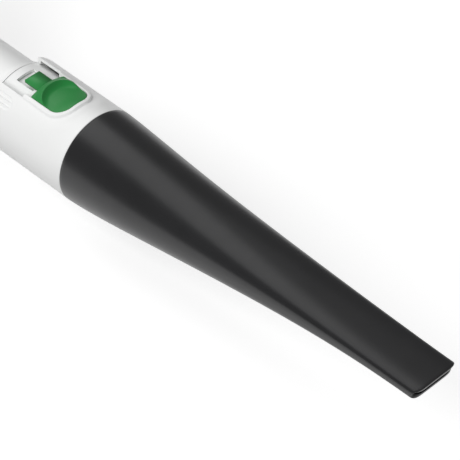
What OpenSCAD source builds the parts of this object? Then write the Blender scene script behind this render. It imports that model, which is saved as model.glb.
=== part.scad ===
// Cordless leaf blower with a flat concentrator nozzle.
// Millimetres, +X towards the nozzle's mouth, +Z up, origin on the floor under the middle of the front foot.
// Every module draws about the air line; air_line() puts it at its height above the floor.

/* [Nozzle] */
// Length of the black nozzle, from the white collar to its upper lip
nozzle_len = 341; // [280:1:410]
// Wall of the nozzle
nozzle_wall = 2; // [1.6:0.2:2.6]
// Width across the flat mouth
mouth_w = 42.6; // [32:0.2:56]
// Height of the flat mouth
mouth_h = 11.2; // [10:0.4:16]
// Height of the middle of the mouth above the air line
mouth_rise = 12; // [0:0.5:14]
// Slant of the mouth's cut in degrees, upper lip forward
mouth_slant = 18; // [0:1:24]
// How far the corners of the mouth are rounded back
mouth_round = 3.5; // [0:0.5:6]

/* [Collar] */
// Outer diameter of the collar and of the nozzle's round end
collar_d = 78; // [74:1:94]
// Length of the collar
collar_len = 87; // [84:1:110]
// Wall of the collar
collar_wall = 2.4; // [2:0.2:3]
// Outer diameter of the sleeve inside the collar
sleeve_d = 66; // [60:1:66]
// Wall of the sleeve
sleeve_wall = 2.2; // [1.8:0.2:2.6]

/* [Release button] */
// Width of the button
button_w = 33; // [28:1:36]
// Length of the button's thumb part
button_len = 33; // [30:1:36]
// Distance from the nozzle to the button's front edge
button_front = 21; // [18:1:24]
// Width of the latch tongue behind the button
tongue_w = 15; // [12:1:16]
// How far the button turns when it is pressed, in degrees
button_turn = 4; // [2:0.5:5]

/* [Blower body] */
// Outer diameter of the fan case
case_d = 116; // [110:1:140]
// Length of the fan case
case_len = 180; // [176:2:230]
// Wall of the fan case, the handle and the other shells
case_wall = 2.6; // [2:0.2:3]
// Length of bare outlet tube between the collar and the fan case
neck_len = 84; // [66:1:100]
// Height of the air line above the floor
axis_z = 74; // [72:1:92]

/* [Handle] */
// Width of the grip
grip_w = 32; // [30:1:38]
// Depth of the grip
grip_d = 35; // [34:1:38]
// Height of the grip's middle above the air line
grip_z = 124; // [120:1:140]

/* [Battery] */
// Width of the battery pack
pack_w = 76; // [72:1:90]
// Height of the battery pack
pack_h = 104; // [102:1:130]
// Depth of the battery pack behind its rails
pack_t = 50; // [46:1:60]

/* [Hidden] */
$fn = 64;

// Clearances
fit_gap = 0.3;
seam = 0.1;
pin_gap = 0.08;

collar_r = collar_d / 2;
sleeve_r = sleeve_d / 2;
neck_r = sleeve_r - sleeve_wall - fit_gap;
case_r = case_d / 2;
case_front = -collar_len - neck_len;
case_back = case_front - case_len;
base_front_x = case_front - 30;
base_rear_x = case_back + 30;
joint_x = -base_front_x;

// Recess for the button in the collar
recess_round = 12;
rim_w = 3;
recess_half = button_w / 2 + fit_gap;
step_x = -button_front - button_len - 5.5;
slot_front = step_x - 1;
slot_back = step_x - 19.5;
slot_half = tongue_w / 2 + 1.3;

// Fan, motor and duct
duct_r = case_r - case_wall - 1.4;
duct_wall = 2.4;
fan_x = case_back + 34;
fan_r = duct_r - duct_wall - 2.6;
hub_r = 23;
motor_r = 22;
motor_back = fan_x + 16;
motor_len = 62;
motor_front = motor_back + motor_len;
shaft_r = 2.5;

// Handle line: base and corner points in the XZ plane
front_base = [case_front - 34, case_r - 22];
front_top = [case_front - 46, grip_z + 3];
rear_top = [case_back + 10, grip_z - 3];
rear_base = [case_back + 15, case_r - 24];
corner_cut = 30;
trigger_x = case_front - 78;
grip_slope = atan2(rear_top[1] - front_top[1], rear_top[0] - front_top[0]);
boost_x = case_front - 62;
lead_y = 9.3;

// Battery dock behind the rear post of the handle
dock_x = case_back - 4;
dock_t = 12;
pack_x = dock_x - dock_t - fit_gap;
pack_low = 28;
dock_low = case_r + 2;
dock_h = pack_low + pack_h - dock_low - 6;
rail_w = 44;
rail_t = 4;
rail_lip = 3;
cover_t = 4;
cell_r = 9.1;
cell_len = 65;

base_w = 88;
pad_t = 3;

function ease(v) = v * v * (3 - 2 * v);
function mix(a, b, q) = a + (b - a) * q;
function power(v, e) = sign(v) * pow(abs(v), e);
function unit(v) = v / norm(v);

module air_line() {
    translate([joint_x, 0, axis_z]) children();
}

// Turns a profile of [radius, x] points about the air line
module lathe(angle = 360) {
    rotate([0, 90, 0]) rotate_extrude(angle = angle) children();
}

module tube(r_out, r_in, x0, x1) {
    lathe() polygon([[r_in, x0], [r_out, x0], [r_out, x1], [r_in, x1]]);
}

module rod(r, x0, x1) {
    translate([x0, 0, 0]) rotate([0, 90, 0]) cylinder(r = r, h = x1 - x0);
}

module cross_rod(r, half) {
    rotate([90, 0, 0]) cylinder(r = r, h = 2 * half, center = true);
}

// Block with four round upright edges, centred in X and Y, standing on z = 0
module round_block(size, r) {
    linear_extrude(size[2]) {
        square([size[0] - 2 * r, size[1]], center = true);
        square([size[0], size[1] - 2 * r], center = true);
        for (x = [-1, 1], y = [-1, 1])
            translate([x * (size[0] / 2 - r), y * (size[1] / 2 - r)]) circle(r);
    }
}

// Shapes that blend into each other are worked out as one mesh
module blended() {
    resize([0, 0, 0]) children();
}

// Closed skin over a list of rings that have the same number of points
module skin(rings, looped = false) {
    n = len(rings[0]);
    m = len(rings);
    sides = [for (j = [0 : looped ? m - 1 : m - 2]) for (i = [0 : n - 1])
        let (k = (i + 1) % n, u = (j + 1) % m)
        each [[j * n + i, u * n + k, j * n + k], [j * n + i, u * n + i, u * n + k]]];
    ends = looped ? [] : [[for (i = [0 : n - 1]) i], [for (i = [0 : n - 1]) m * n - 1 - i]];
    polyhedron([for (ring = rings) each ring], concat(sides, ends));
}

// ---- Nozzle assembly ----

nozzle_sides = 48;
nozzle_steps = 26;
mouth_square = 3.6;
taper_bend = 0.72;
square_late = 2.7;

// One ring of the nozzle: round at the collar, a flat slot with round ends at the mouth
function nozzle_ring(s, inset) =
    let (q = ease(pow(s, taper_bend)), rise = mouth_rise * ease(min(s / 0.9, 1)))
    let (a = mix(collar_r, mouth_w / 2, q), b = mix(collar_r, mouth_h / 2, q))
    let (e = 2 / mix(2, mouth_square, pow(q, square_late)))
    let (cut = tan(mouth_slant) * pow(max(0, s - 0.8) / 0.2, 2))
    [for (i = [0 : nozzle_sides - 1])
        let (t = 360 * i / nozzle_sides, y = (a - inset) * power(cos(t), e))
        let (z = rise + (b - inset) * power(sin(t), e))
        let (corner = mouth_round * pow(max(0, s - 0.9) / 0.1, 2) * pow(abs(y) / a, 6))
        [nozzle_len * s - cut * (rise + b - z) - corner, y, z]];

module nozzle_shell() {
    outside = [for (i = [0 : nozzle_steps]) nozzle_ring(i / nozzle_steps, 0)];
    inside = [for (i = [nozzle_steps : -1 : 0]) nozzle_ring(i / nozzle_steps, nozzle_wall)];
    color("#191a1b") air_line() skin(concat(outside, inside), looped = true);
}

// Outline of the button's recess, seen from above, grown by a margin
module recess_outline(grow) {
    r = recess_round + grow;
    half = recess_half + grow;
    front = -button_front + fit_gap + grow;
    translate([step_x, -half]) square([front - r - step_x, 2 * half]);
    translate([step_x, r - half]) square([front - step_x, 2 * (half - r)]);
    for (side = [-1, 1]) translate([front - r, side * (half - r)]) circle(r);
}

// Cut for the shallow grip patch on each flank of the collar
module flank_patch(side) {
    patch = 11;
    rotate([side * 46, 0, 0]) translate([0, 0, collar_r - 0.8]) {
        translate([-collar_len - 1, -patch / 2, 0]) cube([collar_len + step_x - 4, patch, 3]);
        translate([step_x - 5, 0, 0]) cylinder(r = patch / 2, h = 3);
    }
}

module nozzle_collar() {
    wall_front = 3;
    spigot = 6;
    color("#f1f2f1") air_line() {
        difference() {
            union() {
                tube(collar_r, collar_r - collar_wall, -collar_len, -wall_front);
                tube(collar_r, sleeve_r + seam, -wall_front, 0);
                tube(collar_r - nozzle_wall - 0.8, collar_r - nozzle_wall - 2.8, 0, spigot);
                tube(collar_r - 0.5, sleeve_r + seam, -collar_len + 0.6, -collar_len + 3);
                intersection() {
                    linear_extrude(collar_r + 1) recess_outline(rim_w);
                    tube(collar_r + 0.5, sleeve_r + seam, step_x, 0);
                }
            }
            linear_extrude(collar_r + 2) recess_outline(0);
            translate([-collar_len - 1, -recess_half - rim_w, sleeve_r * 0.5])
                cube([collar_len + 1 + step_x, 2 * (recess_half + rim_w), collar_r]);
            for (side = [-1, 1]) flank_patch(side);
            translate([button_pin_x, 0, button_pin_z]) cross_rod(pin_r + 0.03, pin_half + 0.1);
        }
        for (side = [-1, 1], k = [-1, 1]) rotate([side * (46 + k * 3), 0, 0])
            translate([-collar_len + 1, -0.5, collar_r - 1.4]) cube([collar_len + step_x - 6, 1, 1.2]);
    }
}

module nozzle_sleeve() {
    color("#e9eae9") air_line() difference() {
        tube(sleeve_r, sleeve_r - sleeve_wall, -collar_len + 1, 16);
        translate([slot_back, -slot_half, 0]) cube([slot_front - slot_back, 2 * slot_half, collar_r]);
    }
}

// Release button: a thumb dish in front, a raised ridge behind it and a latch tongue
button_pin_x = -button_front - button_len + 5;
pin_r = 0.8;
button_pin_z = sleeve_r + pin_r + 0.15;
pin_half = recess_half + 0.7;
press_room = (button_len - 5) * sin(button_turn) + 2 * fit_gap;

module button_outline() {
    r = recess_round;
    half = button_w / 2;
    back = -button_front - button_len;
    translate([back, -half]) square([button_len - r, 2 * half]);
    translate([back, r - half]) square([button_len, 2 * (half - r)]);
    for (side = [-1, 1]) translate([-button_front - r, side * (half - r)]) circle(r);
}

module release_button() {
    tongue_back = slot_back + 7.6;
    ridge_x = -button_front - button_len + 6;
    dish_r = 24;
    color("#2f9148") air_line() difference() {
        union() {
            intersection() {
                linear_extrude(collar_r + 4) button_outline();
                union() {
                    tube(collar_r - 0.2, sleeve_r + press_room, -collar_len, 0);
                    intersection() {
                        translate([ridge_x, 0, sleeve_r - 2]) cross_rod(9.5, button_w / 2);
                        tube(collar_r + 2.4, sleeve_r + 0.5, -collar_len, 0);
                    }
                }
            }
            translate([tongue_back, -tongue_w / 2, sleeve_r + 0.5])
                cube([ridge_x - tongue_back, tongue_w, 2]);
            translate([tongue_back, -tongue_w / 2, sleeve_r - 1.8]) cube([5, tongue_w, 3]);
        }
        translate([-button_front - 13.5, 0, collar_r + dish_r * 0.92]) sphere(r = dish_r);
        // Room over the sleeve for the part in front of the pin, which goes down when the button turns
        tube(sleeve_r + 1.4, sleeve_r - 3, button_pin_x + 2.6, 0);
        translate([button_pin_x, 0, button_pin_z]) cross_rod(pin_r + pin_gap, button_w);
        translate([-button_front - 12, 0, sleeve_r]) cylinder(r = 3, h = 2.8);
    }
}

module release_pin() {
    color("#b9bcc0") air_line() translate([button_pin_x, 0, button_pin_z])
        cross_rod(pin_r, pin_half);
}

// Coil spring that stands on z = 0
module coil(r, wire, height, turns) {
    steps = turns * 12;
    skin([for (i = [0 : steps]) let (a = 360 * turns * i / steps, z = wire / 2 + (height - wire) * i / steps)
        [for (k = [0 : 5]) let (t = 60 * k)
            [(r + wire / 2 * cos(t)) * cos(a), (r + wire / 2 * cos(t)) * sin(a), z - wire / 2 * sin(t)]]]);
}

module release_spring() {
    color("#c9ccd0") air_line() translate([-button_front - 12, 0, sleeve_r + 0.1])
        coil(1.8, 0.5, 2.6, 3);
}

// ---- Outlet tube and fan case ----

module outlet_tube() {
    front = -22;
    wall = 2.4;
    flare_x = case_front + 22;
    flare_r = case_r - case_wall - 0.9;
    collar_back = -collar_len - fit_gap;
    steps = 10;
    bell = [for (i = [0 : steps])
        let (q = i / steps) [mix(neck_r, flare_r, ease(q)), mix(flare_x, case_front - 14, q)]];
    color("#eff0ef") air_line() difference() {
        lathe() polygon(concat(
            [[neck_r - wall, front], [neck_r, front], [neck_r, collar_back], [sleeve_r - 0.6, collar_back],
                [sleeve_r - 0.6, collar_back - 3], [neck_r, collar_back - 4]],
            bell,
            [for (i = [steps : -1 : 0]) bell[i] - [wall, 0]]
        ));
        tube(neck_r + 2, neck_r - 1.3, front + 6, front + 9);
        translate([-collar_len, -tongue_w / 2 - 1, neck_r - 1.2]) cube([collar_len, tongue_w + 2, 5]);
    }
}

module tube_seal() {
    color("#26272a") air_line() difference() {
        lathe() translate([neck_r - 0.6, -14.5]) circle(0.65, $fn = 24);
        translate([-collar_len, -tongue_w / 2 - 1, neck_r - 1.2]) cube([collar_len, tongue_w + 2, 5]);
    }
}

// Radius of the fan case along its length, 0 at the front and 1 at the back: a soft barrel
function barrel(q) = case_r - 7 * pow(max(0, 1 - q / 0.09), 2) - 4 * pow(max(0, (q - 0.9) / 0.1), 2);

module case_half() {
    steps = 28;
    skin_out = [for (i = [0 : steps]) [barrel(i / steps), case_front - case_len * i / steps]];
    lathe(180) polygon(concat(skin_out, [for (i = [steps : -1 : 0]) skin_out[i] - [case_wall, 0]]));
}

module case_cuts() {
    // Holes for the leads under the front post of the handle, and the two rows of screw holes
    for (y = [-lead_y, lead_y]) translate([front_base[0], y, case_r - 12]) cylinder(r = 2, h = 16);
    for (x = screw_places) translate([x, 0, -case_r - 1]) {
        translate([0, screw_y, 0]) cylinder(r = 1.7, h = 12);
        translate([0, -screw_y, 0]) cylinder(r = 1.7, h = 12);
    }
}

base_len = 24;
screw_places = [base_front_x, base_rear_x];
screw_y = 18;

module fan_case_left() {
    color("#f1f2f1") air_line() difference() {
        translate([0, seam, 0]) case_half();
        case_cuts();
    }
}

module fan_case_right() {
    color("#f1f2f1") air_line() difference() {
        mirror([0, 1, 0]) translate([0, seam, 0]) case_half();
        case_cuts();
    }
}

module clamp_ring() {
    color("#1d1e20") air_line() tube(case_r - 8, case_r - 10.8, case_front + seam, case_front + 3);
}

// Rear grille: a round frame that grips the case, with ribs on a shallow dome
module intake_grille() {
    frame_in = case_r - 12;
    dome_r = 96;
    dome_x = case_back + dome_r - 12;
    color("#1d1e20") air_line() {
        lathe() polygon([[frame_in, case_back - 6], [case_r - 3.4, case_back - 6], [case_r - 1.6, case_back - 4],
            [case_r - 1.6, case_back - seam], [case_r - 7.2, case_back - seam], [case_r - 7.2, case_back + 8],
            [frame_in, case_back + 8]]);
        intersection() {
            translate([dome_x, 0, 0]) difference() {
                sphere(r = dome_r);
                sphere(r = dome_r - 3);
            }
            union() {
                for (r = [9 : 8.4 : frame_in]) tube(r + 1.2, r - 1.2, case_back - 20, case_back + 12);
                for (a = [0 : 30 : 150]) rotate([a, 0, 0])
                    translate([case_back - 20, -1.3, -frame_in - 1]) cube([32, 2.6, 2 * frame_in + 2]);
                rod(7, case_back - 20, case_back + 12);
            }
        }
    }
}

// ---- Fan and motor ----

module stator_duct() {
    vanes = 9;
    vane_t = 2;
    x0 = fan_x - 10;
    x1 = motor_front + 8;
    color("#3a3c3f") air_line() difference() {
        union() {
            tube(duct_r, duct_r - duct_wall, x0, x1);
            tube(motor_r + 0.2 + duct_wall, motor_r + 0.2, motor_back + 2, motor_front);
            for (i = [0 : vanes - 1]) rotate([360 * i / vanes, 0, 0]) translate([motor_back + 26, 0, 0])
                rotate([0, 0, 12]) translate([-22, -vane_t / 2, motor_r + 1])
                    cube([44, vane_t, duct_r - motor_r - 2]);
        }
        rod(motor_r + 0.2, motor_back - 2, motor_front + 10);
    }
}

// One twisted fan blade that stands out along +Z from the hub
module blade() {
    stations = 5;
    chord = 26;
    skin([for (i = [0 : stations]) let (q = i / stations, z = mix(hub_r - 1.5, fan_r, q), pitch = mix(46, 66, q))
        [for (p = [[-0.5, 0], [-0.2, -0.1], [0.2, -0.1], [0.5, -0.6], [0.5, 0.4], [0.2, 1.5], [-0.2, 1.5]])
            let (u = p[0] * chord * mix(0.8, 1, q), v = p[1])
            [u * cos(pitch) - v * sin(pitch), u * sin(pitch) + v * cos(pitch), z]]]);
}

module fan_impeller() {
    blades = 9;
    color("#2b2c2f") air_line() blended() difference() {
        union() {
            lathe() polygon([[0, fan_x - 13], [8, fan_x - 12], [15, fan_x - 9], [20, fan_x - 4], [hub_r, fan_x + 2],
                [hub_r, fan_x + 13], [0, fan_x + 13]]);
            translate([fan_x, 0, 0]) for (i = [0 : blades - 1]) rotate([360 * i / blades, 0, 0]) blade();
        }
        rod(shaft_r + 0.05, fan_x - 4, fan_x + 20);
        tube(hub_r - 3, 7, fan_x + 3, fan_x + 20);
    }
}

module motor_can() {
    wall = 1.5;
    color("#a9adb1") air_line() difference() {
        rod(motor_r, motor_back, motor_front);
        rod(motor_r - wall, motor_back + 2.5, motor_front - 2.5);
        rod(8 + seam, motor_back - 1, motor_back + 3);
        rod(8 + seam, motor_front - 3, motor_front + 1);
    }
}

module motor_windings() {
    color("#b8683a") air_line()
        tube(motor_r - 1.7, motor_r - 6, motor_back + 10, motor_front - 10);
}

module motor_rotor() {
    color("#6d7074") air_line() tube(motor_r - 6.5, shaft_r + 0.02, motor_back + 12, motor_front - 12);
}

module motor_shaft() {
    color("#c9ccd0") air_line() rod(shaft_r, fan_x - 3.5, motor_front + 2);
}

module bearing(x) {
    color("#c2c5c9") air_line() difference() {
        rod(8, x, x + 2.3);
        rod(shaft_r + pin_gap, x - 1, x + 4);
    }
}

module bearing_rear() {
    bearing(motor_back + 0.1);
}

module bearing_front() {
    bearing(motor_front - 2.4);
}

// Tail cone that closes the motor in the air stream
module motor_cone() {
    x0 = motor_front + 0.2;
    len = front_base[0] + 20 - x0;
    steps = 12;
    line = [for (i = [0 : steps])
        let (q = i / steps) [(motor_r + 0.2) * sqrt(1 - 0.94 * q * q), x0 + len * q]];
    wall = 1.8;
    color("#2b2c2f") air_line() difference() {
        lathe() polygon(concat([[0, x0 + len - wall], [0, x0 + len]], [for (i = [steps : -1 : 0]) line[i]],
            [for (i = [0 : steps - 1]) line[i] - [wall, 0]]));
        for (y = [-lead_y, lead_y]) translate([front_base[0], y, 0]) cylinder(r = 2, h = case_r);
    }
}

// ---- Handle ----

// Points round a corner of the handle's line, each with the line's direction there
function corner(a, b, c) =
    let (from = b + unit(a - b) * corner_cut, to = b + unit(c - b) * corner_cut)
    [for (i = [0 : 6]) let (t = i / 6, v = (1 - t) * (b - from) + t * (to - b))
        [(1 - t) * (1 - t) * from + 2 * t * (1 - t) * b + t * t * to, atan2(v[1], v[0])]];

function heading(a, b) = atan2(b[1] - a[1], b[0] - a[0]);

handle_line = concat(
    [[front_base, heading(front_base, front_top)],
        [mix(front_base, front_top, 0.3), heading(front_base, front_top)]],
    corner(front_base, front_top, rear_top),
    [[mix(front_top, rear_top, 0.45), grip_slope], [mix(front_top, rear_top, 0.6), grip_slope]],
    corner(front_top, rear_top, rear_base),
    [[mix(rear_top, rear_base, 0.7), heading(rear_top, rear_base)], [rear_base, heading(rear_top, rear_base)]]
);

// Half width and half depth along the handle: it spreads where it meets the case
spread = [1.5, 1.2, 1, 1, 1, 1, 1, 1, 1, 1.04, 1.04, 1, 1, 1, 1, 1.02, 1.06, 1.1, 1.25, 1.45];

function handle_ring(i, inset) =
    let (p = handle_line[i][0], a = handle_line[i][1], k = spread[i])
    let (w = grip_w / 2 * k - inset, d = grip_d / 2 * mix(1, k, 0.7) - inset)
    [for (t = [0 : 360 / 32 : 359]) let (v = d * power(sin(t), 0.86), u = w * power(cos(t), 0.86))
        [p[0] - v * sin(a), u, p[1] + v * cos(a)]];

module handle_solid(inset) {
    skin([for (i = [0 : len(handle_line) - 1]) handle_ring(i, inset)]);
}

module handle_shell() {
    difference() {
        handle_solid(0);
        handle_solid(case_wall);
        rod(case_r + 0.15, case_back - 20, case_front + 20);
        // Opening for the trigger in the underside of the grip
        translate([trigger_pivot[0] - trigger_len - trigger_room, -trigger_half - 0.5, grip_z - grip_d])
            cube([trigger_len + trigger_room + 7, 2 * trigger_half + 1, grip_d]);
        // Hole for the boost button on top
        translate([boost_x, 0, grip_z]) cylinder(r = boost_r + fit_gap, h = grip_d);
        // Opening for the cables into the battery dock
        translate([dock_x - 8, -7, grip_z - 52]) cube([24, 14, 20]);
        // Screw holes, blind on the left and with room for the head on the right
        for (p = handle_screw_places) translate([p[0], 0, p[1]]) {
            translate([0, -2, 0]) cross_rod(1.5, p[2] + 1.2);
            translate([0, -p[2] - 1, 0]) cross_rod(3, 2.6);
        }
        translate([trigger_pivot[0], 0, trigger_pivot[1]]) cross_rod(1.52, grip_w / 2 - 1);
    }
}

trigger_half = 6.5;
trigger_len = 36;
trigger_drop = 21;
trigger_turn = 10;
trigger_room = trigger_drop * sin(trigger_turn) + fit_gap;
trigger_pivot = [trigger_x + 17, grip_z - grip_d / 2 + 9];
boost_r = 6.5;
handle_screw_places = [
    concat(mix(front_base, front_top, 0.45) + [8, 0], grip_w * 0.5),
    concat(mix(front_top, rear_top, 0.6) - [0, 8], grip_w * 0.45),
    concat(mix(rear_top, rear_base, 0.5) + [8, -4], grip_w * 0.48)
];

module half_space(side) {
    translate([case_back - 60, side > 0 ? seam : -200 - seam, -case_r]) cube([case_len + 120, 200, 300]);
}

module handle_left() {
    color("#f1f2f1") air_line() blended() intersection() {
        handle_shell();
        half_space(1);
    }
}

module handle_right() {
    color("#f1f2f1") air_line() blended() intersection() {
        handle_shell();
        half_space(-1);
    }
}

module handle_screws() {
    color("#8f9397") air_line() for (p = handle_screw_places) translate([p[0], 0, p[1]]) {
        translate([0, -1, 0]) cross_rod(1.4, p[2] - 0.6);
        translate([0, -p[2] + 0.9, 0]) cross_rod(2.8, 0.7);
    }
}

// Soft pad wrapped over the back of the grip
module grip_pad() {
    pad = 1.6;
    first = 9;
    last = 13;
    outside = [for (i = [first : last]) handle_ring(i, -pad)];
    inside = [for (i = [last : -1 : first]) handle_ring(i, -seam)];
    color("#232527") air_line() skin(concat(outside, inside), looped = true);
}

module trigger() {
    x = trigger_pivot[0];
    z = trigger_pivot[1];
    color("#2f9148") air_line() difference() {
        union() {
            translate([x - trigger_len, -trigger_half, z - trigger_drop])
                cube([trigger_len - 2, 2 * trigger_half, trigger_drop + 1]);
            translate([x, 0, z]) cross_rod(5, trigger_half);
            translate([x - 4, -trigger_half, z - 12]) cube([9, 2 * trigger_half, 12]);
        }
        translate([x - 18, 0, z - 34]) cross_rod(21, trigger_half + 1);
        translate([x, 0, z]) cross_rod(1.5 + pin_gap, trigger_half + 1);
    }
}

module trigger_pin() {
    color("#b9bcc0") air_line()
        translate([trigger_pivot[0], 0, trigger_pivot[1]]) cross_rod(1.5, grip_w / 2 - 2.5);
}

spring_x = trigger_pivot[0] - 30;
switch_low = trigger_pivot[1] + 10;

module trigger_spring() {
    color("#c9ccd0") air_line() translate([spring_x, 0, trigger_pivot[1] + 1.1]) coil(3, 0.8, 8.8, 4);
}

module trigger_switch() {
    color("#303236") air_line() {
        translate([spring_x - 12, -6, switch_low]) cube([24, 12, 10]);
        translate([spring_x + 7, -2, switch_low - 1.4]) cube([4, 4, 1.4]);
    }
}

boost_z = grip_z + grip_d / 2;

module boost_button() {
    color("#2f9148") air_line() translate([boost_x, 0, boost_z - 5]) {
        cylinder(r = boost_r, h = 8);
        translate([0, 0, -3]) cylinder(r = boost_r + 1, h = 1.4);
        translate([0, 0, -3]) cylinder(r = boost_r - 2, h = 3.5);
    }
}

module boost_spring() {
    color("#c9ccd0") air_line() translate([boost_x, 0, boost_z - 15]) coil(3.5, 0.7, 6.9, 4);
}

module control_board() {
    color("#2c6b45") air_line() {
        translate([rear_top[0] + 6, -12.6, grip_z - 42]) cube([1.6, 25.2, 26]);
        translate([rear_top[0] + 2, -6, grip_z - 36]) cube([4, 12, 10]);
        translate([boost_x - 6, -6, boost_z - 17]) cube([12, 12, 1.9]);
    }
}

// Round wire along points in the XZ plane, moved sideways by y
module lead(points, y, r) {
    n = len(points);
    skin([for (i = [0 : n - 1])
        let (v = points[min(i + 1, n - 1)] - points[max(i - 1, 0)], a = atan2(v[1], v[0]))
        [for (k = [0 : 7]) let (t = 45 * k)
            [points[i][0] - r * sin(t) * sin(a), y + r * cos(t), points[i][1] + r * sin(t) * cos(a)]]]);
}

// A smooth line through a bend at b
function curve(a, b, c, n = 8) = [for (i = [0 : n]) let (t = i / n)
    (1 - t) * (1 - t) * a + 2 * t * (1 - t) * b + t * t * c];

module motor_leads() {
    path = concat(
        curve([spring_x + 12.3, switch_low + 5], [front_top[0] - 4, switch_low + 5],
            mix(front_top, front_base, 0.36)),
        curve([front_base[0], case_r + 6], [front_base[0], case_r - 6], [front_base[0], motor_r - 8])
    );
    color("#8c2f2b") air_line() for (y = [-lead_y, lead_y]) lead(path, y, 1.1);
}

module battery_leads() {
    drop = rear_top[0] - 5;
    path = concat(
        curve([spring_x - 12.3, switch_low + 5], [drop, switch_low + 4], [drop, grip_z - 24]),
        curve([drop, grip_z - 32], [drop, grip_z - 42], [dock_x + 0.2, grip_z - 42])
    );
    color("#26272a") air_line() for (y = [-2.6, 2.6]) lead(path, y, 1.2);
}

// ---- Battery ----

module battery_dock() {
    groove = rail_w / 2 + fit_gap;
    color("#1d1e20") air_line() difference() {
        translate([dock_x - dock_t / 2, 0, dock_low]) round_block([dock_t, rail_w + 16, dock_h], 2);
        // T-shaped channel that the rails of the pack slide in, open upwards
        translate([dock_x - dock_t - 1, -groove + rail_lip, dock_low + 6])
            cube([rail_t + 2.6, 2 * (groove - rail_lip), dock_h]);
        translate([dock_x - dock_t + 1.6, -groove, dock_low + 6]) cube([rail_t, 2 * groove, dock_h]);
        // Room for the rear post of the handle
        blended() handle_solid(-0.2);
    }
}

module dock_terminals() {
    color("#c9a45a") air_line() for (y = [-10, 0, 10])
        translate([dock_x - dock_t - 4, y - 0.5, dock_low + 16]) cube([9.6, 1, 14]);
}

module battery_case() {
    wall = 2.6;
    r = 9;
    color("#202224") air_line() difference() {
        translate([pack_x - cover_t - pack_t / 2, 0, pack_low]) round_block([pack_t, pack_w, pack_h], r);
        translate([pack_x - cover_t - pack_t / 2 + wall, 0, pack_low + wall])
            round_block([pack_t, pack_w - 2 * wall, pack_h - 2 * wall], r - wall);
        translate([pack_x - cover_t - 26, 0, pack_low + pack_h - 6]) cylinder(r = latch_r + fit_gap, h = 10);
        translate([pack_x - cover_t - pack_t - 1, -14, pack_low + 20]) cube([2.2, 28, 8]);
    }
}

latch_r = 9;
latch_x = pack_x - cover_t - 26;

module battery_cover() {
    color("#2a2c2f") air_line() difference() {
        union() {
            translate([pack_x - cover_t / 2, 0, pack_low])
                round_block([cover_t - seam, pack_w - 6, pack_h], 1.4);
            translate([pack_x - seam, -rail_w / 2 + rail_lip + fit_gap, dock_low + 7])
                cube([3, rail_w - 2 * (rail_lip + fit_gap), dock_h - 8]);
            translate([pack_x + 2.2, -rail_w / 2 + fit_gap, dock_low + 7])
                cube([rail_t - 0.8, rail_w - 2 * fit_gap, dock_h - 8]);
        }
        for (y = [-10, 0, 10]) translate([pack_x - cover_t - 2, y - 1.6, pack_low - 1])
            cube([14, 3.2, dock_low + 32 - pack_low]);
    }
}

module battery_cells() {
    color("#3f6f9a") air_line() for (row = [0 : 1], k = [0 : 4])
        translate([pack_x - cover_t - 9.6 - row * 18.8, 0, pack_low + 12 + k * 18.6])
            cross_rod(cell_r, cell_len / 2);
}

module battery_latch() {
    color("#2f9148") air_line() translate([latch_x, 0, pack_low + pack_h]) {
        translate([0, 0, -3.6]) cylinder(r = latch_r, h = 7);
    }
}

module latch_spring() {
    color("#c9ccd0") air_line() translate([latch_x, 0, pack_low + pack_h - 8.2]) coil(4, 0.7, 4.4, 3);
}

module charge_window() {
    color("#d9dcde") air_line() translate([pack_x - cover_t - pack_t + 0.1, -13.6, pack_low + 20.4])
        cube([1, 27.2, 7.2]);
}

// ---- Base ----

// Saddle under the fan case
module saddle(x) {
    color("#1d1e20") air_line() difference() {
        union() {
            translate([x, 0, -axis_z + pad_t]) round_block([base_len, base_w, 10], 6);
            translate([x - base_len / 2 + 3, -base_w / 2 + 8, -axis_z + pad_t + 9.9])
                cube([base_len - 6, base_w - 16, 30]);
        }
        rod(case_r + 0.15, case_back - 20, case_front + 20);
        for (y = [-screw_y, screw_y]) translate([x, y, -axis_z]) {
            cylinder(r = 1.7, h = 40);
            cylinder(r = 3.3, h = pad_t + 5);
        }
    }
}

module base_front() {
    saddle(base_front_x);
}

module base_rear() {
    saddle(base_rear_x);
}

module case_screws() {
    top = sqrt(case_r * case_r - screw_y * screw_y);
    color("#8f9397") air_line() for (x = screw_places, y = [-screw_y, screw_y])
        translate([x, y, -axis_z + pad_t + 5 - 2]) {
            cylinder(r = 3, h = 2);
            cylinder(r = 1.5, h = axis_z - pad_t - 3 - top + case_wall + 1);
        }
}

// One rubber bar across the underside of each saddle
module foot_pads() {
    color("#161718") air_line() for (x = screw_places)
        translate([x, 0, -axis_z]) round_block([base_len - 6, base_w - 8, pad_t - 0.01], 4);
}

nozzle_shell();
nozzle_collar();
nozzle_sleeve();
release_button();
release_pin();
release_spring();
outlet_tube();
tube_seal();
clamp_ring();
fan_case_left();
fan_case_right();
case_screws();
intake_grille();
stator_duct();
fan_impeller();
motor_can();
motor_windings();
motor_rotor();
motor_shaft();
bearing_front();
bearing_rear();
motor_cone();
handle_left();
handle_right();
handle_screws();
grip_pad();
trigger();
trigger_pin();
trigger_spring();
trigger_switch();
boost_button();
boost_spring();
control_board();
motor_leads();
battery_leads();
battery_dock();
dock_terminals();
battery_case();
battery_cover();
battery_cells();
battery_latch();
latch_spring();
charge_window();
base_front();
base_rear();
foot_pads();
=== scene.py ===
import math

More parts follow.
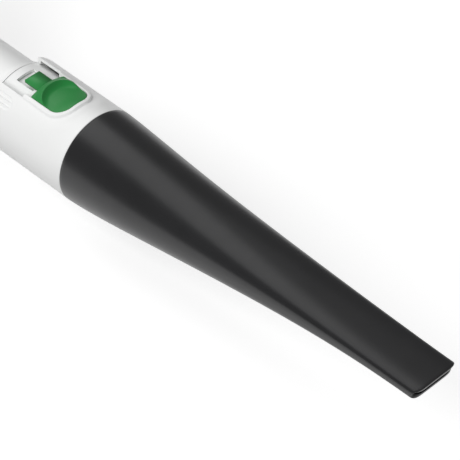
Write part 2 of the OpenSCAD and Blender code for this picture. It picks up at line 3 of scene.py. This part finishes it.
import bpy
import numpy as np
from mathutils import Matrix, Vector


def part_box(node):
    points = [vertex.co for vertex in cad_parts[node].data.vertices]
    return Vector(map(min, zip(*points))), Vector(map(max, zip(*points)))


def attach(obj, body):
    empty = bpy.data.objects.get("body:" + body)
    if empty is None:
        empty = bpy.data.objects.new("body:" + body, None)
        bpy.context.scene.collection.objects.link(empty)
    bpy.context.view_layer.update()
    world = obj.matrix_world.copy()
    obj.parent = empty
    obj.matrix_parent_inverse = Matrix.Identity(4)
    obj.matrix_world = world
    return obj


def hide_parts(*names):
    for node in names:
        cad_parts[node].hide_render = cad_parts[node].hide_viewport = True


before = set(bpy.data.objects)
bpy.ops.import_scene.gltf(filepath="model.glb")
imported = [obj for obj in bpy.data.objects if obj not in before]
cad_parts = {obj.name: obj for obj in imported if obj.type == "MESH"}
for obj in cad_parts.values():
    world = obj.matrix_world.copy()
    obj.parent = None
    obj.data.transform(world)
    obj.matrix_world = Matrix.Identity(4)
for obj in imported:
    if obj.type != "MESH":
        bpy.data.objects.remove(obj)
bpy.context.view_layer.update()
mm = 0.001


# ---- The studio: a pale floor, soft panels of light and a long lens ----
# The blower stands on a plain pale floor. The camera looks down on the nozzle from its front right corner.
# One panel hangs high over the back of the nozzle and shows in its gloss; the key panel lights the collar's
# near side and is kept out of reflections. The floor glows a little and throws no light on the blower.
mouth_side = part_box("nozzle_shell")
sleeve_low, sleeve_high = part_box("nozzle_sleeve")
joint_x = mouth_side[0][0]
air_z = (sleeve_low[2] + sleeve_high[2]) / 2
joint = Vector((joint_x, 0, air_z))


def towards(azimuth, elevation):
    a, e = math.radians(azimuth), math.radians(elevation)
    return Vector((math.sin(a) * math.cos(e), -math.cos(a) * math.cos(e), math.sin(e)))


camera_data = bpy.data.cameras.new("camera")
camera = bpy.data.objects.new("camera", camera_data)
bpy.context.collection.objects.link(camera)
camera_azimuth, camera_elevation, camera_distance = 45.32, 43.96, 2.11
back = towards(camera_azimuth, camera_elevation)
right = Vector((math.cos(math.radians(camera_azimuth)), math.sin(math.radians(camera_azimuth)), 0))
up = back.cross(right)
aim = joint + right * 98.4 * mm - up * 55.1 * mm
camera.location = aim + back * camera_distance
camera.rotation_mode = "QUATERNION"
camera.rotation_quaternion = (-back).to_track_quat("-Z", "Y")
camera_data.sensor_width = 36
camera_data.lens = 221.5
camera_data.clip_start = 0.05
camera_data.clip_end = 50
bpy.context.scene.camera = camera
bpy.context.scene.view_settings.view_transform = "Standard"

world = bpy.data.worlds.new("room")
bpy.context.scene.world = world
world.use_nodes = True
room_light = world.node_tree.nodes["Background"]
room_light.inputs["Color"].default_value = (1, 1, 1, 1)
room_light.inputs["Strength"].default_value = 0.25


def panel(name, azimuth, elevation, distance, size, power, mirrored=True):
    light = bpy.data.lights.new(name, "AREA")
    light.shape = "RECTANGLE"
    light.size, light.size_y = size
    light.energy = power
    lamp = bpy.data.objects.new(name, light)
    away = towards(azimuth, elevation)
    lamp.location = joint + away * distance
    lamp.rotation_mode = "QUATERNION"
    lamp.rotation_quaternion = away.to_track_quat("Z", "Y")
    lamp.visible_glossy = mirrored
    bpy.context.collection.objects.link(lamp)


panel("top_panel", -97, 59, 1.5, (1.3, 1.3), 7)
panel("key_panel", 5, 40, 1.5, (1.1, 1.1), 16.5, mirrored=False)

floor_half, floor_drop = 6, 0.5 * mm
floor_corners = [(-floor_half, -floor_half, 0), (floor_half, -floor_half, 0)]
floor_corners += [(floor_half, floor_half, 0), (-floor_half, floor_half, 0)]
floor_mesh = bpy.data.meshes.new("floor")
floor_mesh.from_pydata(floor_corners, [], [(0, 1, 2, 3)])
floor = bpy.data.objects.new("floor", floor_mesh)
floor.location.z = -floor_drop
bpy.context.collection.objects.link(floor)
floor.visible_diffuse = False
paper = bpy.data.materials.new("floor_paper")
paper.use_nodes = True
sheet = paper.node_tree.nodes["Principled BSDF"]
sheet.inputs["Base Color"].default_value = (0.8, 0.8, 0.8, 1)
sheet.inputs["Emission Color"].default_value = (1, 1, 1, 1)
sheet.inputs["Emission Strength"].default_value = 0.5
sheet.inputs["Roughness"].default_value = 0.9
floor_mesh.materials.append(paper)


# ---- Nozzle shell ----
# A long blow-moulded concentrator in satin black plastic. It starts as a round tube at the collar and
# flattens into a slanted slot with round ends. The wall thickens to a lip at the mouth.
# A finish with cloudy colour, a fine grain, uneven gloss and rubbed edges
def moulded(name, colour, rough, grain=1400, depth=0.03, mottle=0.05, wear=0.2, edge=(0.5, 0.5, 0.5),
            coat=0.0, metal=0.0, clear=0.0):
    finish = bpy.data.materials.new(name)
    finish.use_nodes = True
    nodes, links = finish.node_tree.nodes, finish.node_tree.links
    surface = nodes["Principled BSDF"]
    place = nodes.new("ShaderNodeTexCoord")
    cloud = nodes.new("ShaderNodeTexNoise")
    cloud.inputs["Scale"].default_value = 28
    cloud.inputs["Detail"].default_value = 6
    links.new(place.outputs["Object"], cloud.inputs["Vector"])
    tint = nodes.new("ShaderNodeValToRGB")
    tint.color_ramp.elements[0].position = 0.3
    tint.color_ramp.elements[1].position = 0.7
    tint.color_ramp.elements[0].color = [c * (1 - mottle) for c in colour] + [1]
    tint.color_ramp.elements[1].color = [min(1, c * (1 + mottle)) for c in colour] + [1]
    links.new(cloud.outputs["Fac"], tint.inputs["Fac"])
    shape = nodes.new("ShaderNodeNewGeometry")
    ridge = nodes.new("ShaderNodeMapRange")
    ridge.inputs["From Min"].default_value = 0.52
    ridge.inputs["From Max"].default_value = 0.6
    ridge.inputs["To Max"].default_value = wear
    links.new(shape.outputs["Pointiness"], ridge.inputs["Value"])
    rub = nodes.new("ShaderNodeMath")
    rub.operation = "MULTIPLY"
    links.new(ridge.outputs["Result"], rub.inputs[0])
    links.new(cloud.outputs["Fac"], rub.inputs[1])
    worn = nodes.new("ShaderNodeMix")
    worn.data_type = "RGBA"
    links.new(rub.outputs[0], worn.inputs["Factor"])
    links.new(tint.outputs["Color"], worn.inputs["A"])
    worn.inputs["B"].default_value = list(edge) + [1]
    links.new(worn.outputs["Result"], surface.inputs["Base Color"])
    smear = nodes.new("ShaderNodeTexNoise")
    smear.inputs["Scale"].default_value = 90
    smear.inputs["Detail"].default_value = 4
    links.new(place.outputs["Object"], smear.inputs["Vector"])
    gloss = nodes.new("ShaderNodeMapRange")
    gloss.inputs["To Min"].default_value = rough * 0.88
    gloss.inputs["To Max"].default_value = rough * 1.12
    links.new(smear.outputs["Fac"], gloss.inputs["Value"])
    links.new(gloss.outputs["Result"], surface.inputs["Roughness"])
    pebble = nodes.new("ShaderNodeTexNoise")
    pebble.inputs["Scale"].default_value = grain
    pebble.inputs["Detail"].default_value = 2
    links.new(place.outputs["Object"], pebble.inputs["Vector"])
    bump = nodes.new("ShaderNodeBump")
    bump.inputs["Strength"].default_value = 0.35
    bump.inputs["Distance"].default_value = depth * mm
    links.new(pebble.outputs["Fac"], bump.inputs["Height"])
    links.new(bump.outputs["Normal"], surface.inputs["Normal"])
    surface.inputs["Coat Weight"].default_value = coat
    surface.inputs["Metallic"].default_value = metal
    surface.inputs["Transmission Weight"].default_value = clear
    return finish


def piece(name, points, faces, body, finish, slot, stands_for=()):
    mesh = bpy.data.meshes.new(name)
    mesh.from_pydata([tuple(float(c) for c in p) for p in points], [], faces)
    mesh.validate()
    mesh.polygons.foreach_set("use_smooth", [True] * len(mesh.polygons))
    obj = bpy.data.objects.new(name, mesh)
    bpy.context.collection.objects.link(obj)
    mesh.materials.append(finish)
    if body:
        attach(obj, body)
    if stands_for:
        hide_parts(*stands_for)
    return obj


# Points and faces of a skin over rings of equal length; a looped skin joins its last ring to its first
def skin(rings, looped=False):
    count, sides = len(rings), len(rings[0])
    faces = []
    for j in range(count if looped else count - 1):
        n = (j + 1) % count
        faces += [(j * sides + i, j * sides + (i + 1) % sides, n * sides + (i + 1) % sides, n * sides + i)
                  for i in range(sides)]
    if not looped:
        faces.append(tuple(range(sides - 1, -1, -1)))
        faces.append(tuple((count - 1) * sides + i for i in range(sides)))
    return np.concatenate(rings), faces


def ease(v):
    return v * v * (3 - 2 * v)


def mix(a, b, q):
    return a + (b - a) * q


collar_r = 39 * mm
nozzle_len = 341 * mm
nozzle_wall = 2 * mm
mouth_w, mouth_h, mouth_rise = 42.6 * mm, 11.2 * mm, 12 * mm
mouth_slant = math.tan(math.radians(18))
mouth_round = 3.5 * mm
mouth_square = 3.6
lip_growth = 0.9


# One ring of the nozzle, s from 0 at the collar to 1 at the mouth
def nozzle_ring(s, inset=0.0, forward=0.0, sides=160):
    q = ease(s ** 0.72)
    rise = mouth_rise * ease(min(s / 0.9, 1))
    half_w = mix(collar_r, mouth_w / 2, q)
    half_h = mix(collar_r, mouth_h / 2, q)
    power = 2 / mix(2, mouth_square, q ** 2.7)
    inset = inset * (1 + lip_growth * ease(max(0, s - 0.96) / 0.04))
    slant = mouth_slant * (max(0, s - 0.8) / 0.2) ** 2
    turn = np.arange(sides) * 2 * math.pi / sides
    wide = np.sign(np.cos(turn)) * np.abs(np.cos(turn)) ** power
    high = np.sign(np.sin(turn)) * np.abs(np.sin(turn)) ** power
    y = (half_w - inset) * wide
    z = rise + (half_h - inset) * high
    corner = mouth_round * (max(0, s - 0.9) / 0.1) ** 2 * np.abs(wide) ** 9
    x = nozzle_len * s + forward - slant * (rise + half_h - z) - corner
    return np.stack([joint_x + x, y, air_z + z], axis=1)


def nozzle_rings():
    steps, lip_steps = 110, 8
    rings = [nozzle_ring(0, 0.5 * mm), nozzle_ring(0, 0.15 * mm, 0.12 * mm), nozzle_ring(0, 0, 0.45 * mm)]
    rings += [nozzle_ring(k / steps) for k in range(1, steps)]
    lip = nozzle_wall / 2
    for k in range(lip_steps + 1):
        a = math.pi * k / lip_steps
        rings.append(nozzle_ring(1, lip * (1 - math.cos(a)), 0.7 * lip * (abs(math.sin(a)) ** 0.5 - 1)))
    rings += [nozzle_ring(k / steps, nozzle_wall) for k in range(steps - 1, -1, -1)]
    return rings


black_shell = moulded("black_shell", (0.012, 0.012, 0.013), 0.33, grain=1800, depth=0.02, mottle=0.12,
                      wear=0.05, edge=(0.2, 0.2, 0.2))
piece("nozzle", *skin(nozzle_rings(), looped=True), "nozzle", black_shell, "black_shell", ["nozzle_shell"])


# ---- Collar ----
# The white moulded sleeve cover that the user grips to take the nozzle off. A raised rim runs round the thumb
# button in a soft dish, a channel runs from there to the open back end, and each flank has a ribbed patch.
collar_len = 87 * mm
sleeve_r = sleeve_high[2] - air_z
recess_half, recess_round, recess_front = 16.8 * mm, 12 * mm, -20.7 * mm
rim_w, step_x = 3 * mm, -59.5 * mm
channel_half = recess_half + rim_w
patch_turn, patch_half, patch_front = math.radians(46), 5.5 * mm, -64 * mm


# Distance outside the rounded outline of the button's recess, seen from above
def from_recess(x, y):
    across = np.abs(y) - (recess_half - recess_round)
    along = x - (recess_front - recess_round)
    outside = np.hypot(np.maximum(across, 0), np.maximum(along, 0))
    return outside + np.minimum(np.maximum(across, along), 0) - recess_round


def smooth(v, low, high):
    return ease(np.clip((v - low) / (high - low), 0, 1))


def collar_outer(x, turn):
    y = collar_r * np.sin(turn)
    gap = from_recess(x, y)
    on_top = np.cos(turn) > 0
    rim_here = smooth(x, step_x - 0.4 * mm, step_x)
    rim = 0.48 * mm * (1 - smooth(gap, rim_w - 0.4 * mm, rim_w + 0.5 * mm)) * rim_here
    lip = 0.5 * mm * np.clip(1 - gap / (0.6 * mm), 0, 1) ** 2
    dish = 1.15 * mm * (1 - smooth(gap, rim_w + 0.5 * mm, 12.5 * mm))
    dish = dish * smooth(gap, rim_w - 0.2 * mm, rim_w + 1.2 * mm)
    dish = dish * smooth(x, -76 * mm, -46 * mm)
    r = collar_r + np.where(on_top, rim - lip - dish, 0)
    for side in (-1, 1):
        arc = (turn - side * patch_turn) * collar_r
        inside = np.hypot(arc, np.maximum(x - (patch_front - patch_half), 0)) - patch_half
        patch = 0.75 * mm * (1 - smooth(inside, -0.6 * mm, 0.1 * mm))
        rib = 0.65 * mm * (1 - smooth(np.abs(np.abs(arc) - 2 * mm), 0.3 * mm, 0.7 * mm))
        rib = rib * (1 - smooth(x, patch_front - 2.5 * mm, patch_front - 1.5 * mm))
        r = r - patch + np.minimum(rib, patch)
    back_bevel = 1.4 * mm * np.clip((-collar_len + 2.4 * mm - x) / (2.4 * mm), 0, 1) ** 1.5
    front_bevel = 0.3 * mm * np.clip((x + 0.5 * mm) / (0.5 * mm), 0, 1) ** 2
    return r - back_bevel - front_bevel


def collar_inner(x, turn):
    gap = from_recess(x, collar_r * np.sin(turn))
    thick = np.maximum(1 - smooth(gap, rim_w + 0.6 * mm, rim_w + 1.6 * mm), 0) * (np.cos(turn) > 0)
    thick = np.maximum(thick, smooth(-x, collar_len - 3.5 * mm, collar_len - 2.5 * mm))
    thick = np.maximum(thick, smooth(x, -3.5 * mm, -2.5 * mm))
    return mix(collar_r - 2.4 * mm, sleeve_r + 0.15 * mm, thick)


def on_axis(x, turn, r):
    return np.stack([joint_x + x + 0 * r, r * np.sin(turn), air_z + r * np.cos(turn)], axis=-1)


fine = np.radians(np.arange(-62, 62, 0.6))
coarse = np.radians(np.arange(62, 298, 3))
turns = np.concatenate([fine, coarse])
stations = [[-87, -86.6, -86], np.arange(-85.2, -1, 0.8), [-0.8, -0.5, -0.3, -0.15, 0]]
stations = np.concatenate(stations) * mm
outer = [on_axis(x, turns, collar_outer(x, turns)) for x in stations]
inner = [on_axis(x, turns, collar_inner(x, turns)) for x in stations[::-1]]
white_shell = moulded("white_shell", (0.86, 0.865, 0.86), 0.36, grain=1500, depth=0.012, mottle=0.015,
                      wear=0.0)
collar = piece("collar", *skin(outer + inner, looped=True), None, white_shell, None)


# A closed prism over a flat outline of (x, y) points, from one height above the air line to another
def prism(outline, z0, z1):
    n = len(outline)
    points = [(joint_x + x, y, air_z + z) for z in (z0, z1) for x, y in outline]
    faces = [(i, (i + 1) % n, n + (i + 1) % n, n + i) for i in range(n)]
    faces += [tuple(range(n - 1, -1, -1)), tuple(range(n, 2 * n))]
    return points, faces


def arc_points(cx, cy, r, start, end, steps):
    turn = np.radians(np.linspace(start, end, steps + 1))
    return list(zip(cx + r * np.cos(turn), cy + r * np.sin(turn)))


def cut(obj, tool):
    step = obj.modifiers.new("cut", "BOOLEAN")
    step.operation = "DIFFERENCE"
    step.solver = "EXACT"
    step.object = tool
    mesh = bpy.data.meshes.new_from_object(obj.evaluated_get(bpy.context.evaluated_depsgraph_get()))
    obj.modifiers.clear()
    obj.data = mesh
    bpy.data.objects.remove(tool)
    mesh.polygons.foreach_set("use_smooth", [True] * len(mesh.polygons))
    mesh.set_sharp_from_angle(angle=math.radians(38))


corner_x, corner_y = recess_front - recess_round, recess_half - recess_round
recess_outline = [(-95 * mm, -channel_half), (step_x, -channel_half), (step_x, -recess_half)]
recess_outline += arc_points(corner_x, -corner_y, recess_round, -90, 0, 20)
recess_outline += arc_points(corner_x, corner_y, recess_round, 0, 90, 20)
recess_outline += [(step_x, recess_half), (step_x, channel_half), (-95 * mm, channel_half)]
cut(collar, piece("cutter", *prism(recess_outline, 18 * mm, 50 * mm), None, white_shell, None))
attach(collar, "nozzle")
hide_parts("nozzle_collar")


# ---- Release button ----
# A green moulded lever that tips on a steel pin. Its front is a thumb dish with a steep back, behind it the
# surface rises to an arched ridge, and a flat latch tongue runs back from there to the slot in the sleeve.
button_half, button_front, button_back = 16.5 * mm, -21 * mm, -54 * mm
button_mid, button_r = -36 * mm, 38.8 * mm
arch_mid, arch_deep, arch_wide, arch_power = -35 * mm, 14.6 * mm, 16.8 * mm, 2.4
tongue_half, tongue_back = 7.5 * mm, -71.4 * mm
tongue_under, tongue_top = 33.5 * mm, 35.5 * mm


# Reach of the button's outline from its middle at each turn, found by halving
def button_edge(turn):
    ray = np.stack([np.cos(turn), np.sin(turn)])
    low, high = np.zeros_like(turn), np.full_like(turn, 60 * mm)
    for _ in range(40):
        reach = (low + high) / 2
        x, y = button_mid + reach * ray[0], reach * ray[1]
        across = np.abs(y) - (button_half - recess_round)
        along = x - (button_front - recess_round)
        gap = np.hypot(np.maximum(across, 0), np.maximum(along, 0))
        gap = gap + np.minimum(np.maximum(across, along), 0) - recess_round
        gap = np.maximum(gap, button_back - x)
        low, high = np.where(gap < 0, reach, low), np.where(gap < 0, high, reach)
    return low


# The ridge's crest is an arch seen from above: steep on the dish's side, easy on the side of the tongue
def button_top(x, y):
    base = np.sqrt(button_r ** 2 - y ** 2)
    behind = np.minimum(x - arch_mid, 0) / arch_deep
    arch = (np.abs(behind) ** arch_power + np.abs(y / arch_wide) ** arch_power) ** (1 / arch_power)
    inside, outside = (1 - arch) * 15 * mm, (arch - 1) * 15 * mm
    hollow = 2.4 * mm * (1 - smooth(x, button_mid, button_front)) * (1 - 0.6 * (y / button_half) ** 2)
    wall = (2.3 * mm + hollow) * np.clip(1 - inside / (5.5 * mm), 0, 1) ** 2
    slope = 0.3 * mm + 2 * mm * np.clip(1 - outside / (4.9 * mm), 0, 1) + hollow
    fade = 1 - smooth(x, -46 * mm, -33 * mm)
    return base - hollow + np.where(inside > 0, wall, slope) * fade


spokes = np.radians(np.arange(0, 360, 1.5))
reach = button_edge(spokes)
levels = [0.02, *np.linspace(0.05, 0.95, 56), 0.965, 0.98, 0.99, 1.0]
round_off = 0.55 * mm
rings = []
for share in levels:
    x, y = button_mid + share * reach * np.cos(spokes), share * reach * np.sin(spokes)
    edge = reach * (1 - share)
    drop = round_off * (1 - np.sqrt(np.clip(1 - np.clip(1 - edge / round_off, 0, 1) ** 2, 0, 1)))
    rings.append(np.stack([joint_x + x, y, air_z + button_top(x, y) - drop], axis=1))
x, y = button_mid + reach * np.cos(spokes), reach * np.sin(spokes)
under = np.sqrt((35.7 * mm) ** 2 - y ** 2)
rings.append(np.stack([joint_x + x, y, air_z + under], axis=1))
rings.append(np.stack([joint_x + mix(button_mid, x, 0.9), y * 0.9, air_z + under], axis=1))
green_button = moulded("green_button", (0.016, 0.225, 0.045), 0.42, grain=1300, depth=0.015, mottle=0.05,
                       wear=0.12, edge=(0.2, 0.5, 0.25))
piece("release_lever_top", *skin(rings), "release_lever", green_button, "green_button", ["release_button"])

tongue_outline = [(-50 * mm, -tongue_half), (-50 * mm, tongue_half)]
tongue_outline += arc_points(tongue_back + 1 * mm, tongue_half - 1 * mm, 1 * mm, 90, 180, 5)
tongue_outline += arc_points(tongue_back + 1 * mm, -tongue_half + 1 * mm, 1 * mm, 180, 270, 5)
piece("latch_tongue", *prism(tongue_outline, tongue_under, tongue_top), "release_lever", green_button,
      "green_button")


# ---- Sleeve, spring and pin ----
# Under the collar: a white inner sleeve with the latch slot, a steel pin that the button tips on, a small
# coil spring of bright wire below the thumb dish, and the black seal that stops air leaking from the joint.
def smooth_sides():
    fold_limit = math.radians(32)
    group = bpy.data.node_groups.new("smooth_sides", "GeometryNodeTree")
    group.interface.new_socket("Geometry", in_out="INPUT", socket_type="NodeSocketGeometry")
    group.interface.new_socket("Geometry", in_out="OUTPUT", socket_type="NodeSocketGeometry")
    start, end = group.nodes.new("NodeGroupInput"), group.nodes.new("NodeGroupOutput")
    fold = group.nodes.new("GeometryNodeInputMeshEdgeAngle")
    soft = group.nodes.new("FunctionNodeCompare")
    soft.data_type, soft.operation = "FLOAT", "LESS_THAN"
    soft.inputs[1].default_value = fold_limit
    edges = group.nodes.new("GeometryNodeSetShadeSmooth")
    sides = group.nodes.new("GeometryNodeSetShadeSmooth")
    edges.domain, sides.domain = "EDGE", "FACE"
    group.links.new(fold.outputs["Unsigned Angle"], soft.inputs[0])
    group.links.new(start.outputs[0], sides.inputs["Geometry"])
    group.links.new(sides.outputs[0], edges.inputs["Geometry"])
    group.links.new(soft.outputs[0], edges.inputs["Shade Smooth"])
    group.links.new(edges.outputs[0], end.inputs[0])
    return group


soft_shading = smooth_sides()


# Gives CAD pieces their finish and soft shading, and rounds their corners where asked to
def dress(finish, *names, rounded=0.0):
    for name in names:
        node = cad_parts[name]
        node.data.materials.clear()
        node.data.materials.append(finish)
        if rounded:
            flats = node.modifiers.new("flats", "DECIMATE")
            flats.decimate_type = "DISSOLVE"
            flats.angle_limit = math.radians(1)
            corners = node.modifiers.new("rounded", "BEVEL")
            corners.width = rounded * mm
            corners.segments = 3
            corners.limit_method = "ANGLE"
            corners.angle_limit = math.radians(35)
        node.modifiers.new("smooth_sides", "NODES").node_group = soft_shading


spring_steel = moulded("spring_steel", (0.55, 0.55, 0.57), 0.26, grain=2600, depth=0.01, mottle=0.06,
                       wear=0.3, metal=1.0)
seal_rubber = moulded("seal_rubber", (0.012, 0.012, 0.012), 0.82, grain=1100, depth=0.05, mottle=0.2,
                      wear=0.1)
dress(white_shell, "nozzle_sleeve")
dress(green_button, "release_button")
dress(white_shell, "nozzle_collar")
dress(black_shell, "nozzle_shell")
dress(spring_steel, "release_pin", "release_spring")
dress(seal_rubber, "tube_seal")


# ---- Outlet tube and fan case ----
# Two white moulded shells meet on the middle plane and are screwed together round the fan. A black clamp ring
# holds the outlet tube in their front, and a black grille of rings and spokes guards the inlet at the back.
black_plastic = moulded("black_plastic", (0.021, 0.021, 0.023), 0.56, grain=900, depth=0.06, mottle=0.15,
                        wear=0.25, edge=(0.12, 0.12, 0.12))
screw_steel = moulded("screw_steel", (0.38, 0.38, 0.4), 0.38, grain=1800, depth=0.02, mottle=0.1, wear=0.4,
                      metal=1.0)
dress(white_shell, "outlet_tube", "fan_case_left", "fan_case_right")
case_r, case_wall, case_front, case_len = 57.97 * mm, 2.6 * mm, -171 * mm, 180 * mm
grooves = np.array([-197, -318, -325, -332]) * mm
seam = 0.1 * mm
case_holes = [(-205, 9.3, 2, 44, 62), (-201, 18, 1.7, -59, -47), (-321, 18, 1.7, -59, -47)]


# Outer radius of the case along the air line
def barrel(x):
    q = (case_front - x) / case_len
    return case_r - 7 * mm * np.maximum(0, 1 - q / 0.09) ** 2 - 4 * mm * np.maximum(0, (q - 0.9) / 0.1) ** 2


# One half of the case, with panel grooves round it and eased edges where it meets the other half
def case_half(side):
    along = [np.arange(-351, -170.9, 2.5) * mm, case_front - case_len * np.linspace(0, 0.09, 12)]
    along += [g + np.linspace(-1, 1, 13) * mm for g in grooves]
    x = np.unique(np.round(np.concatenate(along), 6))
    groove = sum(0.7 * mm * (1 - smooth(np.abs(x - g), 0.3 * mm, 0.9 * mm)) for g in grooves)
    near = np.linspace(0, 1.2 * mm, 7) / case_r
    turns = np.concatenate([near, np.linspace(near[-1], math.pi - near[-1], 100)[1:-1], math.pi - near[::-1]])
    rings = []
    for turn in turns:
        from_seam = case_r * min(turn, math.pi - turn)
        eased = 0.45 * mm * max(0, 1 - from_seam / (0.8 * mm)) ** 2
        outer = barrel(x) - np.maximum(groove, eased)
        hollow = on_axis(x, side * turn, barrel(x) - case_wall)
        ring = np.concatenate([on_axis(x, side * turn, outer), hollow[::-1]])
        ring[:, 1] += side * seam
        rings.append(ring if side > 0 else ring[::-1])
    return skin(rings)


for side, name in ((1, "left"), (-1, "right")):
    half = piece("case_" + name, *case_half(side), None, white_shell, None)
    for hole_x, hole_y, hole_r, low_z, high_z in case_holes:
        round_hole = arc_points(hole_x * mm, side * hole_y * mm, hole_r * mm, 0, 360, 24)[:-1]
        cut(half, piece("cutter", *prism(round_hole, low_z * mm, high_z * mm), None, white_shell, None))
    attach(half, "blower")
    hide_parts("fan_case_" + name)
dress(black_plastic, "clamp_ring", "intake_grille", rounded=0.4)
dress(screw_steel, "case_screws")


# ---- Fan and motor ----
# A nine bladed fan of glass filled plastic on a steel shaft, driven by a brushless motor with copper
# windings. The guide vanes behind it hold the motor in the middle of the duct and a cone closes its front.
fan_plastic = moulded("fan_plastic", (0.032, 0.032, 0.036), 0.5, grain=700, depth=0.05, mottle=0.25, wear=0.3,
                      edge=(0.2, 0.2, 0.2))
motor_steel = moulded("motor_steel", (0.45, 0.46, 0.48), 0.34, grain=1500, depth=0.02, mottle=0.08, wear=0.3,
                      metal=1.0)
winding_copper = moulded("winding_copper", (0.62, 0.26, 0.11), 0.3, grain=1200, depth=0.08, mottle=0.2,
                         wear=0.3, metal=0.85)
dress(fan_plastic, "stator_duct", "fan_impeller", "motor_cone")
dress(motor_steel, "motor_can", "motor_rotor")
dress(winding_copper, "motor_windings")
dress(spring_steel, "motor_shaft", "bearing_front", "bearing_rear")


# ---- Handle ----
# Two white moulded halves screwed together make the loop. A smooth soft rubber pad covers the grip, a green
# trigger hangs in front of the fingers and a green boost button is set in the top for the thumb.
soft_grip = moulded("soft_grip", (0.017, 0.017, 0.018), 0.78, grain=600, depth=0.12, mottle=0.2, wear=0.15)
board_green = moulded("board_green", (0.03, 0.16, 0.07), 0.4, grain=500, depth=0.03, mottle=0.3, wear=0.2,
                      coat=0.4)
lead_red = moulded("lead_red", (0.36, 0.03, 0.022), 0.5, grain=900, depth=0.03, mottle=0.12, wear=0.1)
lead_black = moulded("lead_black", (0.02, 0.02, 0.02), 0.5, grain=900, depth=0.03, mottle=0.12, wear=0.1)
dress(white_shell, "handle_left", "handle_right")
dress(soft_grip, "grip_pad")
dress(screw_steel, "handle_screws")
dress(green_button, "trigger", "boost_button", rounded=0.8)
dress(spring_steel, "trigger_pin", "trigger_spring", "boost_spring")
dress(black_plastic, "trigger_switch")
dress(board_green, "control_board")
dress(lead_red, "motor_leads")
dress(lead_black, "battery_leads")


# ---- Battery ----
# A black pack of ten shrink wrapped cells slides down two rails of the dock and its green latch clicks home.
# Brass blades carry the current, and a frosted strip in the case shows the charge lights.
contact_brass = moulded("contact_brass", (0.75, 0.55, 0.22), 0.28, grain=2000, depth=0.01, mottle=0.1,
                        wear=0.3, metal=1.0)
cell_wrap = moulded("cell_wrap", (0.05, 0.18, 0.4), 0.32, grain=400, depth=0.04, mottle=0.1, wear=0.1)
window_clear = moulded("window_clear", (0.8, 0.82, 0.84), 0.3, grain=1600, depth=0.02, mottle=0.04, wear=0.0,
                       clear=0.5)
dress(black_plastic, "battery_dock", rounded=0.6)
dress(black_plastic, "battery_case", "battery_cover", rounded=0.6)
dress(contact_brass, "dock_terminals")
dress(cell_wrap, "battery_cells")
dress(green_button, "battery_latch", rounded=0.6)
dress(spring_steel, "latch_spring")
dress(window_clear, "charge_window")


# ---- Base ----
# Two black moulded saddles screwed up under the fan case, each with a moulded-on rubber bar that stops the
# blower sliding when it is set down.
dress(black_plastic, "base_front", "base_rear", rounded=1.2)
dress(seal_rubber, "foot_pads", rounded=0.8)
